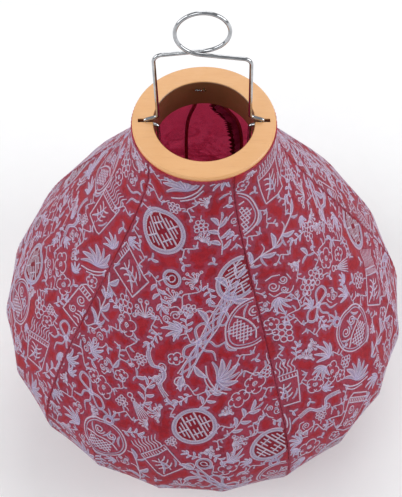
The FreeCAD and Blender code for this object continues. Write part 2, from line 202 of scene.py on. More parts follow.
def ring(x, y, radius, width=0.9, tone=LINE, squash=1.0, count=None):
    a = np.linspace(0, TAU, count or max(12, int(radius * 4)))
    return stroke(np.stack([x + radius * np.cos(a), y + radius * squash * np.sin(a)], 1), width, tone)


def leaf(x, y, angle, length, width, tone=FILL, vein=False):
    a = math.radians(angle)
    along, across = np.array([math.cos(a), math.sin(a)]), np.array([-math.sin(a), math.cos(a)])
    t = np.linspace(0, 1, max(6, int(length / 1.6)))[:, None]
    line = np.array([x, y]) + along * length * t + across * 0.12 * length * np.sin(np.pi * t)
    made = [stroke(line, width, tone, taper=True)]
    if vein:
        half = width / 2
        for side in (-1, 1):
            made.append(stroke(line + side * across * half * np.sin(np.pi * t) ** 0.7, 0.6))
    return made


def medallion():
    """A round fret of plain bars."""
    made = [ring(0, 0, 15.4, 2.6, 0.6), ring(0, 0, 16.8, 0.6), ring(0, 0, 14.0, 0.6)]
    for y in (-4.9, 4.9):
        reach = math.sqrt(13.6 ** 2 - y * y)
        made.append(stroke(straight([(-reach, y), (reach, y)]), 1.5))
    for x in (-7.0, 7.0):
        made.append(stroke(straight([(x, -3.9), (x, 3.9)]), 1.1))
        for y in (-1.7, 1.7):
            made.append(stroke(straight([(x * 0.25, y), (x * 1.6, y)]), 0.9))
    for side in (-1, 1):
        made.append(stroke(straight([(0, side * 5), (0, side * 13.4)]), 1.2))
        for y, reach in ((7.6, 8.4), (10.2, 5.4)):
            made.append(stroke(straight([(-reach, side * y), (reach, side * y)]), 0.9))
    return made


def crosshatch(x, y, wide, tall, gap=2.6):
    made = []
    for slant in (-1, 1):
        for start in np.arange(-tall, wide, gap):
            low, high = max(0, start), min(wide, start + tall)
            if high - low > 1.5:
                ys = np.array([low - start, high - start])
                ys = ys if slant > 0 else tall - ys
                made.append(stroke(straight([(x + low, y + ys[0]), (x + high, y + ys[1])]), 0.6))
    return made


def scroll(x, y, size=5.0, hand=1, width=0.8, turns=1.6, tone=LINE):
    a = np.linspace(0, TAU * turns, int(14 * turns))
    r = size * (1 - a / (TAU * turns) * 0.8)
    return [stroke(np.stack([x + hand * r * np.cos(a), y + r * np.sin(a)], 1), width, tone)]


def vase():
    """A round gourd with a lattice, scrolls and a knob."""
    body = [(0, -15), (9, -12), (14.5, -3), (13, 7), (6, 14),
            (0, 16), (-6, 14), (-13, 7), (-14.5, -3), (-9, -12)]
    made = [stroke(through(body, closed=True), 1.0)]
    inner = np.array(body) * 0.88
    made.append(stroke(through(inner, closed=True), 0.5, 0.7))
    made += crosshatch(-9, 2, 15, 9, 2.9)
    made.append(stroke(through([(-12, 2), (-4, 0), (5, 1), (10, 5)]), 1.0))
    made += scroll(-4, -6, 3.6) + scroll(4.5, -5, 3.2, -1)
    made += leaf(-1, -2, -60, 8, 1.8) + leaf(6, 1, -100, 7, 1.6)
    made += leaf(9, -8, 80, 9, 2.0, 0.7) + leaf(-10, -7, 60, 8, 1.6, 0.7)
    made.append(ring(0, -16.5, 2.6, 2.8, FILL))
    for angle in (-150, -110, -70, -30):
        made += leaf(0, -18, angle, 7, 1.8)
    made.append(stroke(through([(-5, 15.5), (0, 17.5), (5, 15.5)]), 1.4, FILL))
    return made


def fan():
    """A slanted screen with sprigs and a fringe."""
    made = [stroke(straight([(-9, 14), (-11, -10), (11, -12), (9, 14), (-9, 14)]), 0.9)]
    made.append(stroke(straight([(-10.5, -6), (10.5, -8)]), 0.7))
    for x in np.arange(-9, 10, 2.3):
        made.append(stroke(straight([(x, -10.3), (x, -7.2)]), 0.6))
    for x in np.arange(-10, 11, 2.7):
        wave = [(x, -11.5), (x + 1, -15), (x - 0.8, -18.5), (x + 0.9 + x * 0.15, -22.5)]
        made.append(stroke(through(wave), 0.8, taper=True))
    made += leaf(-5, 10, -70, 11, 1.6) + leaf(0, 11, -95, 12, 1.6) + leaf(4, 10, -60, 9, 1.6)
    made.append(stroke(through([(-7, 12), (-2, 4), (0, -4)]), 0.8))
    for y in (0, 4, 8):
        made += leaf(-1, y, -30, 7, 1.2, LINE) + leaf(-1, y, -150, 6, 1.2, LINE)
    return made


def pot():
    """A jar with a banded shoulder and waves."""
    outline = [(-9, -15), (9, -15), (12, -11), (11, 15), (-11, 15), (-12, -11)]
    made = [stroke(straight(outline + outline[:1]), 1.0)]
    for y in (-11.5, -7.5):
        made.append(stroke(straight([(-11.5, y), (11.5, y)]), 0.7))
    for x in np.arange(-10, 10.5, 2.6):
        made.append(stroke(straight([(x, -11), (x, -8)]), 1.1))
    made += scroll(-4, -2, 4.2) + scroll(5, 1, 3.4, -1) + scroll(-5, 8, 3.2, -1)
    for y in (6, 9, 12):
        made.append(stroke(through([(-1, y), (3, y - 1.6), (6, y), (9.5, y - 1.6)]), 0.8))
    made += leaf(1, 5, -20, 9, 2.6) + leaf(2, 6, -75, 7, 2.0)
    return made


def bow(size=1.0):
    made = []
    for side in (-1, 1):
        loop = [(0, 0), (side * 6, -5), (side * 11, -3), (side * 9, 2), (0, 0)]
        made.append(stroke(through(np.array(loop) * size), 2.0 * size, 0.6))
        tail = [(0, 0), (side * 3, 5), (side * 2, 10), (side * 6, 14)]
        made.append(stroke(through(np.array(tail) * size), 1.6 * size, 0.6, taper=True))
    made.append(ring(0, 0, 1.5 * size, 1.6 * size, LINE))
    return made


def ribbon(size=1.0):
    line = np.array([(-14, 12), (-9, 3), (-1, 2), (4, -3), (1, -10), (6, -17), (12, -19)]) * size
    made = [stroke(through(line), 3.0 * size, FILL, taper=True)]
    made.append(stroke(through(line + [1.3 * size, 0.9 * size]), 0.6))
    made.append(stroke(through(line - [1.3 * size, 0.9 * size]), 0.6))
    return made + leaf(-14 * size, 12 * size, 110, 8 * size, 2.4) + scroll(5 * size, -4 * size, 4, -1)


def lotus():
    made = []
    for angle, length in ((-165, 14), (-140, 15), (-115, 15), (-90, 16), (-65, 15), (-40, 15), (-15, 14)):
        made += leaf(0, 4, angle, length, 3.4, FILL, vein=angle % 2 == 0)
    made.append(stroke(through([(-13, 5), (-5, 8), (5, 8), (14, 4)]), 1.0))
    made.append(stroke(through([(-9, 9), (0, 11), (9, 9)]), 0.8))
    return made


def sprig():
    made = [stroke(through([(0, 14), (1, 5), (-1, -4), (2, -13)]), 0.9)]
    for y, angle in ((10, -35), (6, -145), (1, -30), (-3, -150), (-8, -45), (-10, -120)):
        made += leaf(0, y, angle, 9, 2.6, FILL, vein=True)
    return made + leaf(2, -13, -80, 7, 2.2)


def branch():
    line = [(-20, 16), (-10, 8), (0, 2), (9, -6), (19, -18)]
    made = [stroke(through(line), 1.3)]
    for (x, y), angle in zip(line, (-80, -10, -95, 0, -60)):
        made += leaf(x, y, angle, 12, 3.2, FILL, vein=True) + leaf(x, y, angle + 75, 10, 2.4)
        made.append(stroke(through([(x, y), (x + 3, y - 6), (x + 1, y - 10)]), 0.7))
    return made


def blossom():
    made = []
    for x, y in ((0, 0), (5, -3), (4, 4), (-2, 5), (-5, 1), (-3, -5), (2, -7), (8, 1)):
        made.append(ring(x, y, 2.5, 0.8, count=12))
    return made + [stroke(through([(-5, 1), (-9, 5), (-13, 6)]), 0.7)]


def coin():
    return [ring(0, 0, 5.6, 1.9, 0.6), ring(0, 0, 6.7, 0.5), ring(0, 0, 2.2, 0.7, squash=1.3)]


def flute():
    """A long bar wound with a cord, with bows and leaves."""
    x = np.linspace(-30, 30, 44)
    made = []
    for turn in (0, TAU / 3, 2 * TAU / 3):
        made.append(stroke(np.stack([x, 2.4 * np.sin(x / 4.2 + turn)], 1), 1.3, 0.6))
    for y in (-3.2, 3.2):
        made.append(stroke(through([(-30, y), (-10, y * 0.7), (10, y * 1.1), (31, y * 0.6)]), 0.7))
    for x, y, turn in ((-30, 0, 160), (-22, 3, 110), (4, -3, -60), (20, 3, 80), (26, -3, -70), (31, 0, 10)):
        made += leaf(x, y, turn, 10, 2.8, FILL, vein=True)
    made += placed(bow, -8, -2, 0, 1.0) + placed(bow, 14, 2, 170, 0.8)
    return made + [stroke(through([(31, 0), (36, -4), (42, -3)]), 1.0), ring(-34, 0, 2.8, 0.9)]


def spray():
    made = []
    for angle in range(-170, 0, 24):
        a = math.radians(angle)
        reach = 10 + 3 * math.sin(3 * a)
        x, y = reach * math.cos(a), reach * math.sin(a)
        made.append(stroke(through([(0, 0), (x / 2, y / 2 - 1), (x, y)]), 0.8))
        made.append(ring(x, y, 1.4, 0.8, count=9))
    return made


def tassel():
    made = [ring(0, -9, 2.2, 0.9), ring(0, -4.8, 1.6, 0.8)]
    for x in (-4, -2.4, -0.8, 0.8, 2.4, 4):
        made.append(stroke(through([(x * 0.3, -3), (x * 0.8, 4), (x * 1.3, 12)]), 0.8, taper=True))
    return made


def scrollwork():
    made = scroll(-4, 0, 4.5) + scroll(5, -3, 3.5, -1) + scroll(3, 5, 2.8)
    made.append(stroke(through([(-9, 4), (-6, 8), (0, 7), (6, 9), (11, 5)]), 0.8))
    made.append(stroke(straight([(-8, -7), (-2, -9), (4, -8)]), 0.8))
    return made + [stroke(straight([(9, -7), (11, -1)]), 0.8)]


def cloud():
    made = []
    for x, y, r in ((-6, 0, 4.5), (0, -4, 4.8), (6, -1, 4.2), (3, 4, 4.2), (-3, 5, 4.0)):
        a = np.linspace(math.atan2(y, x) - 1.9, math.atan2(y, x) + 1.9, 14)
        made.append(stroke(np.stack([x + r * np.cos(a), y + r * np.sin(a)], 1), 0.8))
    return made + scroll(0, 0, 2.6)


def blades():
    made = []
    for angle, length in ((-150, 12), (-120, 15), (-95, 18), (-70, 16), (-45, 12)):
        made += leaf(0, 8, angle, length, 2.2, FILL, vein=True)
    return made


def tendril():
    """A winding stem with small leaves."""
    line = through([(-16, 4), (-9, -3), (-2, 1), (4, 5), (11, -1), (17, -5)])
    made = [stroke(line, 0.8)] + scroll(17, -5, 2.6, 1, 0.7)
    for x, y, angle in ((-12, 1, -80), (-7, -3, 100), (0, 2, -60), (6, 4, 60), (11, -1, -100)):
        made += leaf(x, y, angle, 6.5, 2.0, FILL)
    return made


def small_leaves():
    made = leaf(0, 2, -60, 9, 2.8, FILL, vein=True)
    return made + leaf(0, 2, -150, 8, 2.6, FILL) + leaf(0, 2, 70, 6, 2.0)


# The woven repeat: a kind's place in this list sets where it comes in the staggered rows.
REPEAT = [medallion, ribbon, vase, sprig, lotus, fan, cloud, branch, coin, pot, spray, medallion,
          scrollwork, flute, blossom, small_leaves, vase, bow, ribbon, fan, tassel, lotus, blades]
ROW_STEP, COLUMN_STEP, PANEL_STEP = 5, 3, 7  # how far the list moves on by the row, column and panel
SCALE = {vase: 1.3, pot: 1.15, fan: 1.15, flute: 1.35, bow: 1.3, lotus: 1.15}
ROW_PITCH = 38  # between the rows of the woven repeat, down the cloth
COLUMN_PITCH = 42  # between figures along a row, with every other row half a pitch over
WANDER = 6  # how far a figure strays from its place in the repeat
TILT = 70  # how far a figure is turned
SLIP = 17  # how far each panel's cut moves along the repeat from the last panel's
FILLERS = [small_leaves, scrollwork, tendril, blossom, cloud, tendril, blades, spray, tendril, sprig]
FILL_GAP = 8.5  # free radius that a filler needs
FILL_TRIES = 5000


def placed(kind, across, down, turn, size=1.0):
    a = math.radians(turn)
    spin = np.array([[math.cos(a), math.sin(a)], [-math.sin(a), math.cos(a)]]) * size
    return [(points @ spin + [across, down], widths * max(size, 0.8), tone)
            for points, widths, tone in kind()]


def tree_of(points):
    tree = KDTree(len(points))
    for index, (x, y) in enumerate(points):
        tree.insert((x, y, 0), index)
    tree.balance()
    return tree


def woven_repeat(panel):
    """Places of the larger figures: staggered rows, each kind in its turn, as the loom repeats them."""
    chance = random.Random(panel + 1)
    rows = math.ceil(CLOTH_LINE.length / ROW_PITCH) + 1
    columns = math.ceil(BAYS / 2 * chord(CLOTH_LINE.s).max() / COLUMN_PITCH) + 1
    places = []
    for row in range(rows):
        for column in range(-columns, columns + 1):
            kind = REPEAT[(ROW_STEP * row + COLUMN_STEP * column + PANEL_STEP * panel) % len(REPEAT)]
            across = (column + row % 2 / 2) * COLUMN_PITCH + chance.uniform(-WANDER, WANDER)
            down = row * ROW_PITCH + SLIP * panel % ROW_PITCH + chance.uniform(-WANDER, WANDER)
            places.append((kind, across, down, chance.uniform(-TILT, TILT)))
    return places


def panel_strokes(panel):
    """All strokes on one panel: the woven repeat, then small figures where cloth is left bare."""
    made = []
    for kind, across, down, turn in woven_repeat(panel):
        made += placed(kind, across, down, turn, SCALE.get(kind, 1.0))
    chance = random.Random(panel + 11)
    tree = tree_of(np.vstack([points for points, _, _ in made]))
    added = []
    for _ in range(FILL_TRIES):
        s = chance.uniform(3, CLOTH_LINE.length - 3)
        half = BAYS / 2 * chord(s)
        w = chance.uniform(-half, half)
        near = tree.find((w, s, 0))[2]
        if near < FILL_GAP * 0.6 or any(math.hypot(w - x, s - y) < FILL_GAP * 1.2 for x, y in added):
            continue
        added.append((w, s))
        size = 0.62 if near < FILL_GAP else 0.9
        kind, turn = chance.choice(FILLERS), chance.uniform(0, 360)
        made += placed(kind, w, s, turn, size * chance.uniform(0.85, 1.0))
    return made


# ---------------------------------------------------------------- meshes

def mesh_object(name, points, faces, materials, smooth_faces=True):
    mesh = bpy.data.meshes.new(name)
    mesh.from_pydata((points * MM).tolist(), [], faces if isinstance(faces, list) else faces.tolist())
    mesh.materials.clear()
    for made in materials:
        mesh.materials.append(made)
    mesh.polygons.foreach_set("use_smooth", [smooth_faces] * len(faces))
    mesh.update()
    obj = bpy.data.objects.new(name, mesh)
    bpy.context.scene.collection.objects.link(obj)
    return obj


def grid_faces(rows, columns, first=0, flip=False):
    index = first + np.arange(rows * columns).reshape(rows, columns)
    a, b, c, d = index[:-1, :-1], index[:-1, 1:], index[1:, 1:], index[1:, :-1]
    quads = np.stack([a, b, c, d] if flip else [d, c, b, a], -1)
    return quads.reshape(-1, 4)


def shell_faces(rows, columns):
    """Faces of a closed thin shell: an outer grid, an inner grid after it, and the rim between."""
    total = rows * columns
    index = np.arange(total).reshape(rows, columns)
    edge = np.concatenate([index[0, :-1], index[:-1, -1], index[-1, :0:-1], index[:0:-1, 0]])
    after = np.roll(edge, -1)
    rim = np.stack([edge, after, after + total, edge + total], -1)
    return np.vstack([grid_faces(rows, columns), grid_faces(rows, columns, total, True), rim])


def add_values(obj, name, values):
    obj.data.attributes.new(name, "FLOAT", "POINT").data.foreach_set("value", values.astype(np.float32))


def add_flat_map(obj, flat):
    """A UV map in hundreds of mm on the flat cloth."""
    layer = obj.data.uv_layers.new(name="flat_cloth")
    corner = np.zeros(len(obj.data.loops), np.int32)
    obj.data.loops.foreach_get("vertex_index", corner)
    layer.data.foreach_set("uv", (flat[corner] / 100).astype(np.float32).ravel())


def follow_ring(obj):
    """Cloth, figures, ribs and flaps: bakes the object's placement into its mesh."""
    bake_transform(obj)


# ---------------------------------------------------------------- materials

class Look:
    """A procedural material under construction."""

    def __init__(self, name):
        self.material = bpy.data.materials.new(name)
        self.material.use_nodes = True
        self.tree = self.material.node_tree
        self.shader = self.tree.nodes["Principled BSDF"]
        self.output = self.tree.nodes["Material Output"]

    def put(self, socket, value):
        if isinstance(value, bpy.types.NodeSocket):
            self.tree.links.new(value, socket)
        elif value is not None:
            socket.default_value = value

    def node(self, kind, settings=None, **inputs):
        made = self.tree.nodes.new("ShaderNode" + kind)
        for key, value in (settings or {}).items():
            setattr(made, key, value)
        for key, value in inputs.items():
            self.put(made.inputs[int(key[1:]) if key[0] == "_" else key], value)
        return made

    def place(self, scale=(1, 1, 1), flat=False):
        source = self.node("TexCoord").outputs["UV" if flat else "Object"]
        return self.node("Mapping", Vector=source, Scale=scale).outputs[0]

    def noise(self, place, scale, detail=2.0, roughness=0.5, distortion=0.0):
        return self.node("TexNoise", Vector=place, Scale=scale, Detail=detail, Roughness=roughness,
                         Distortion=distortion).outputs[0]

    def math(self, operation, a, b=0.0, clamp=False):
        return self.node("Math", {"operation": operation, "use_clamp": clamp}, _0=a, _1=b).outputs[0]

    def step(self, value, low, high, start=0.0, end=1.0):
        made = self.node("MapRange", {"interpolation_type": "SMOOTHSTEP"}, Value=value)
        for key, number in (("From Min", low), ("From Max", high), ("To Min", start), ("To Max", end)):
            made.inputs[key].default_value = number
        return made.outputs[0]

    def mix(self, factor, a, b, mode="MIX"):
        made = self.node("Mix", {"data_type": "RGBA", "blend_type": mode})
        self.put(made.inputs[0], factor)
        self.put(made.inputs[6], a)
        self.put(made.inputs[7], b)
        return made.outputs[2]

    def field(self, name):
        return self.node("Attribute", {"attribute_name": name}).outputs["Fac"]

    def bump(self, height, distance, strength=1.0):
        made = self.node("Bump", Height=height, Distance=distance, Strength=strength)
        self.put(self.shader.inputs["Normal"], made.outputs[0])
        return made.outputs[0]

    def set(self, **inputs):
        for key, value in inputs.items():
            self.put(self.shader.inputs[key.replace("_", " ")], value)
        return self


def colour(red, green, blue):
    """A display colour out of 255, as linear light."""
    parts = [value / 255 for value in (red, green, blue)]
    linear = [part / 12.92 if part <= 0.04045 else ((part + 0.055) / 1.055) ** 2.4 for part in parts]
    return (*linear, 1.0)


RED, MAUVE = colour(184, 34, 44), colour(172, 76, 102)
# The dark maroon on the next line is painted shadow beside the figures' strokes; DEEP is the medallions'
# own ground.
DEEP, SHADOW_MAROON = colour(132, 22, 44), colour(78, 8, 24)
PALE, GREY = colour(232, 234, 250), colour(152, 166, 206)
SHEEN = (0.86, 0.66, 0.8, 1.0)


def weave(look):
    """Threads of the cloth: how high they stand, from 0 to 1."""
    warp = look.node("TexWave", {"bands_direction": "X"}, Vector=look.place(flat=True), Scale=31.0,
                     Distortion=0.6).outputs["Fac"]
    weft = look.node("TexWave", {"bands_direction": "Y"}, Vector=look.place(flat=True), Scale=31.0,
                     Distortion=0.6).outputs["Fac"]
    return look.math("MULTIPLY", warp, weft)


def cloth_shader(look, through_light):
    """Lets some light through the cloth."""
    behind = look.node("BsdfTranslucent", Color=(*through_light, 1.0))
    both = look.node("MixShader", _0=0.48, _1=look.shader.outputs[0], _2=behind.outputs[0])
    look.put(look.output.inputs[0], both.outputs[0])
    return look.material


def brocade_ground():
    look = Look("brocade_ground")
    place = look.place(flat=True)
    wander = look.noise(place, 30.0, 2.0)
    edge = look.math("ADD", look.field("zone"), look.math("MULTIPLY", wander, 5.0))
    zone = look.step(edge, 5.0, 5.4, 1.0, 0.0)
    tonal = look.step(look.noise(place, 13.0, 1.0, distortion=1.2), 0.55, 0.57)
    ground = look.mix(look.math("MULTIPLY", tonal, 0.5), RED, colour(190, 58, 70))
    ground = look.mix(zone, ground, MAUVE)
    leaf_shade = look.step(look.noise(place, 17.0, 0.0, distortion=2.4), 0.42, 0.40)
    ground = look.mix(look.math("MULTIPLY", leaf_shade, 0.45), ground, colour(120, 24, 48))
    ground = look.mix(look.step(look.field("deep"), 0.6, -0.2), ground, DEEP)
    # A dark dashed line beside each seam: partly the seam's dark thread, partly painted shadow of the
    # lapped seam.
    dashes = look.node("TexWave", {"bands_direction": "Y"}, Vector=place, Scale=9.0).outputs["Fac"]
    beside_seam = look.step(look.field("seam"), 0.25, 0.55, 0.9, 0.0)
    stitch_and_shadow = look.math("MULTIPLY", beside_seam, look.step(dashes, 0.2, 0.5, 0.4, 1.0))
    ground = look.mix(stitch_and_shadow, ground, colour(70, 12, 28))
    threads = weave(look)
    ground = look.mix(look.math("MULTIPLY", threads, 0.09), ground, colour(226, 150, 170))
    fleck = look.step(look.noise(place, 130.0, 2.0), 0.56, 0.64)
    ground = look.mix(look.math("MULTIPLY", fleck, 0.4), ground, colour(84, 16, 34))
    look.set(Base_Color=ground, Roughness=look.step(threads, 0.0, 1.0, 0.62, 0.46), Specular_IOR_Level=0.3,
             Sheen_Weight=0.3, Sheen_Roughness=0.3, Sheen_Tint=SHEEN)
    look.bump(threads, 0.00025, 0.5)
    return cloth_shader(look, (0.95, 0.28, 0.42))


def brocade_figures():
    look = Look("brocade_figures")
    place = look.place(flat=True)
    tone = look.field("tone")
    satin = look.node("TexWave", {"bands_direction": "DIAGONAL"}, Vector=place, Scale=34.0,
                      Distortion=1.2).outputs["Fac"]
    thread = look.mix(look.step(tone, 0.84, 0.92), GREY, PALE)
    thread = look.mix(look.math("MULTIPLY", satin, 0.3), thread, colour(236, 216, 232))
    worn = look.step(look.noise(place, 95.0, 2.0), 0.58, 0.66)
    thread = look.mix(look.math("MULTIPLY", worn, 0.45), thread, MAUVE)
    # Painted shadow: where the tone is near 0, on the dark skirt beside each stroke, the colour is dark
    # maroon.
    thread = look.mix(look.step(tone, 0.30, 0.24), thread, SHADOW_MAROON)
    look.set(Base_Color=thread, Roughness=look.step(satin, 0.0, 1.0, 0.5, 0.38), Specular_IOR_Level=0.4,
             Sheen_Weight=0.2, Sheen_Roughness=0.3, Sheen_Tint=SHEEN)
    look.bump(satin, 0.0002, 0.5)
    return cloth_shader(look, (0.74, 0.50, 0.64))


def lining():
    look = Look("cloth_underside")
    place = look.place(flat=True)
    threads = weave(look)
    crinkle = look.noise(place, 64.0, 3.0, 0.6, 1.6)
    # Painted shade and highlight: the colour is darker in the crinkles' low parts and lighter on their
    # ridges, following the same crinkle as the bump.
    base = look.mix(look.step(crinkle, 0.42, 0.6), colour(164, 24, 54), colour(232, 82, 118))
    base = look.mix(look.math("MULTIPLY", threads, 0.25), base, colour(236, 120, 156))
    look.set(Base_Color=base, Roughness=look.step(threads, 0.0, 1.0, 0.8, 0.65), Specular_IOR_Level=0.2)
    look.bump(look.math("ADD", threads, look.math("MULTIPLY", crinkle, 4.0)), 0.0004, 0.8)
    return cloth_shader(look, (0.98, 0.28, 0.46))


def seam_cloth(name, dark, light, glow):
    look = Look(name)
    place = look.place()
    fine = look.noise(place, 900.0, 3.0, 0.6)
    base = look.mix(fine, dark, light)
    base = look.mix(look.step(look.noise(place, 90.0, 2.0), 0.5, 0.6, 0.0, 0.5), base, colour(126, 66, 96))
    look.set(Base_Color=base, Roughness=look.step(fine, 0.3, 0.7, 0.85, 0.7), Specular_IOR_Level=0.2)
    look.bump(fine, 0.0004, 0.6)
    return cloth_shader(look, glow)


def bamboo():
    look = Look("bamboo_strip")
    grain = look.noise(look.place((900, 900, 40)), 1.0, 3.0, 0.6)
    # The grain mix is the bamboo's own; its dark browns are painted shade for ribs that sit dark against
    # the lit cloth.
    base = look.mix(grain, colour(92, 40, 34), colour(134, 70, 52))
    look.set(Base_Color=base, Roughness=look.step(grain, 0.3, 0.7, 0.45, 0.65), Specular_IOR_Level=0.35)
    look.bump(grain, 0.0003, 0.5)
    return look.material


def ring_wood():
    look = Look("varnished_wood")
    place = look.place()
    grain = look.noise(look.place((18, 240, 60)), 1.0, 5.0, 0.55, 0.6)
    pores = look.noise(look.place((90, 1500, 300)), 1.0, 2.0)
    base = look.mix(grain, colour(224, 164, 106), colour(234, 180, 122))
    base = look.mix(look.step(pores, 0.60, 0.72, 0.0, 0.2), base, colour(186, 120, 66))
    flat_place = look.node("VectorMath", {"operation": "MULTIPLY"}, _0=place, _1=(1, 1, 0)).outputs[0]
    radius = look.node("VectorMath", {"operation": "LENGTH"}, _0=flat_place).outputs["Value"]
    # Painted shade: the bore's wall is darkened to dark brown for the shade inside the ring.
    bore_shade = look.step(radius, (BORE + 0.15) * MM, (BORE + 0.6) * MM, 1.0, 0.0)
    base = look.mix(look.math("MULTIPLY", bore_shade, 0.9), base, colour(80, 40, 16))
    # Painted shade: inside the notches cut in the ring, below the top face and between bore and rim, the
    # wood is darkened to red-brown for the shade in them.
    height = look.node("SeparateXYZ", _0=place).outputs["Z"]
    shallow = look.step(height, (RING_TOP - 9) * MM, (RING_TOP - 8) * MM)
    under_face = look.step(height, (RING_TOP - 1.0) * MM, (RING_TOP - 0.6) * MM, 1.0, 0.0)
    below = look.math("MULTIPLY", shallow, under_face)
    reach = look.step(radius, (RIM - 2.5) * MM, (RIM - 2) * MM, 1.0, 0.0)
    reach = look.math("MULTIPLY", reach, look.step(radius, (BORE + 0.2) * MM, (BORE + 0.5) * MM))
    notch_shade = look.math("MULTIPLY", below, reach)
    base = look.mix(look.math("MULTIPLY", notch_shade, 0.85), base, colour(112, 34, 18))
    gloss = look.step(look.noise(place, 160.0, 3.0), 0.35, 0.65, 0.34, 0.5)
    look.set(Base_Color=base, Roughness=gloss, Specular_IOR_Level=0.4)
    look.set(Coat_Weight=0.25, Coat_Roughness=0.25)
    look.bump(pores, 0.00015, 0.4)
    return look.material


def chrome():
    look = Look("bright_frame_wire")
    place = look.place()
    haze = look.noise(place, 220.0, 4.0, 0.6)
    drawn = look.noise(look.place((400, 2600, 400)), 1.0, 2.0)
    # Darker than bright plating, with dark and light patches: partly haze, partly painted reflection of
    # dark surroundings.
    base = look.mix(haze, (0.2, 0.205, 0.215, 1), (0.7, 0.71, 0.73, 1))
    look.set(Base_Color=base, Metallic=1.0, Roughness=look.step(haze, 0.3, 0.7, 0.05, 0.14))
    look.bump(drawn, 0.00005, 0.4)
    return look.material


def steel():
    look = Look("dull_binding_wire")
    place = look.place()
    haze = look.noise(place, 500.0, 3.0, 0.6)
    look.set(Base_Color=look.mix(haze, (0.3, 0.28, 0.26, 1), (0.5, 0.48, 0.45, 1)), Metallic=1.0,
             Roughness=look.step(haze, 0.3, 0.7, 0.3, 0.5))
    look.bump(haze, 0.00005, 0.4)
    return look.material


# ---------------------------------------------------------------- cloth, figures, ribs and flaps

CELLS_PER_BAY = 24
ROW = 2.0
SEAM_STEPS = (0.04, 0.3, 0.6, 1.1)  # the cloth's finer steps beside a seam, in mm from its middle


def nearest(tree, flat, reach):
    return np.array([min(reach, tree.find((w, s, 0))[2]) for w, s in flat])


def distance_to(panel, size, flat):
    """Distance from the nearest of a panel's round patches, negative inside one.

    Size gives each kind's radius."""
    nearest_edge = np.full(len(flat), 9.0)
    for kind, across, down, _ in woven_repeat(panel):
        if kind in size:
            away = np.hypot(flat[:, 0] - across, flat[:, 1] - down) - size[kind]
            nearest_edge = np.minimum(nearest_edge, away)
    return nearest_edge


def cloth_panel(panel, strokes, ground, underside):
    rows = int(CLOTH_LINE.length / ROW) + 1
    even = np.linspace(0, BAYS, BAYS * CELLS_PER_BAY + 1)[1:-1]
    edge = np.array(SEAM_STEPS)
    columns = len(even) + 2 * len(edge)
    s = np.linspace(0, CLOTH_LINE.length, rows)[:, None] * np.ones(columns)
    width = chord(s)
    near = edge / width[:, :1]
    inside = np.clip(even * np.ones((rows, 1)), near[:, -1:] * 1.3, BAYS - near[:, -1:] * 1.3)
    k = np.hstack([near, inside, BAYS - near[:, ::-1]])
    outer, inner = cloth_point(panel, k, s), cloth_point(panel, k, s, -CLOTH)
    points = np.concatenate([outer.reshape(-1, 3), inner.reshape(-1, 3)])
    faces = shell_faces(rows, columns)
    obj = mesh_object(f"brocade_panel_{panel + 1}", points, faces, [ground, underside])
    outside = (rows - 1) * (columns - 1)
    obj.data.polygons.foreach_set("material_index", [0] * outside + [1] * (len(faces) - outside))
    flat = np.stack([(k - BAYS / 2) * width, s], -1).reshape(-1, 2)
    add_flat_map(obj, np.vstack([flat, flat]))
    zone = nearest(tree_of(np.vstack([points for points, _, _ in strokes])), flat, 12.0)
    zone = np.minimum(zone, np.maximum(distance_to(panel, {vase: 17.0, pot: 13.0, fan: 13.0}, flat), 0))
    deep = distance_to(panel, {medallion: 16.0, coin: 5.5}, flat)
    add_values(obj, "zone", np.tile(zone, 2))
    add_values(obj, "deep", np.tile(deep, 2))
    add_values(obj, "seam", np.tile((np.minimum(k, BAYS - k) * width).ravel(), 2))
    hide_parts(f"fabric_panel_{panel + 1}")
    follow_ring(obj)
    return obj


def inside_runs(points, keep):
    """The stretches of a line whose points are on the panel."""
    ends = np.flatnonzero(np.diff(np.concatenate([[0], keep.astype(int), [0]])))
    return [(a, b) for a, b in zip(ends[::2], ends[1::2]) if b - a > 1]


SHADOW_WIDTH = 0.65  # painted shadow: how far the dark line beside each light stroke reaches
# The direction on the flat cloth towards which each stroke's painted shadow falls.
SHADOW_TOWARDS = np.array([0.4, 0.9])


def figure_sheet(panel, strokes, look):
    """The figures as low raised ribbons that sit in the cloth's face."""
    lifts = np.array([-0.06, 0.2, 0.26, 0.2, 0.1])
    flats, heights, tones, faces = [], [], [], []
    first = 0
    for line, widths, tone in strokes:
        half = BAYS / 2 * chord(line[:, 1]) - 1.2
        keep = (np.abs(line[:, 0]) < half) & (line[:, 1] > 2.5) & (line[:, 1] < CLOTH_LINE.length - 3)
        for a, b in inside_runs(line, keep):
            part, wide = line[a:b], widths[a:b] / 2
            along = np.gradient(part, axis=0)
            along /= np.linalg.norm(along, axis=1)[:, None] + 1e-9
            side = np.stack([-along[:, 1], along[:, 0]], 1)
            lit = -1.0 if side.mean(0) @ SHADOW_TOWARDS < 0 else 1.0
            # The last column, with tone 0, is a painted shadow line beside the stroke, always on the side
            # set by the shadow direction above.
            spread = lit * np.stack([-wide - 0.1, -0.7 * wide, 0 * wide, 0.75 * wide, wide + SHADOW_WIDTH], 1)
            flats.append((part[:, None, :] + side[:, None, :] * spread[..., None]).reshape(-1, 2))
            heights.append(np.tile(lifts, b - a))
            tones.append(np.tile([1.0, 1.0, tone, 1.0, 0.0], b - a))
            faces.append(grid_faces(b - a, len(lifts), first, lit > 0))
            first += (b - a) * len(lifts)
    flat = np.vstack(flats)
    k = np.clip(flat[:, 0] / chord(flat[:, 1]) + BAYS / 2, 0.02, BAYS - 0.02)
    points = cloth_point(panel, k, flat[:, 1], np.concatenate(heights))
    obj = mesh_object(f"brocade_figures_{panel + 1}", points, np.vstack(faces), [look])
    add_flat_map(obj, flat)
    add_values(obj, "tone", np.concatenate(tones))
    obj.visible_shadow = False  # woven into the cloth, so no light is lost behind the figures
    follow_ring(obj)
    return obj


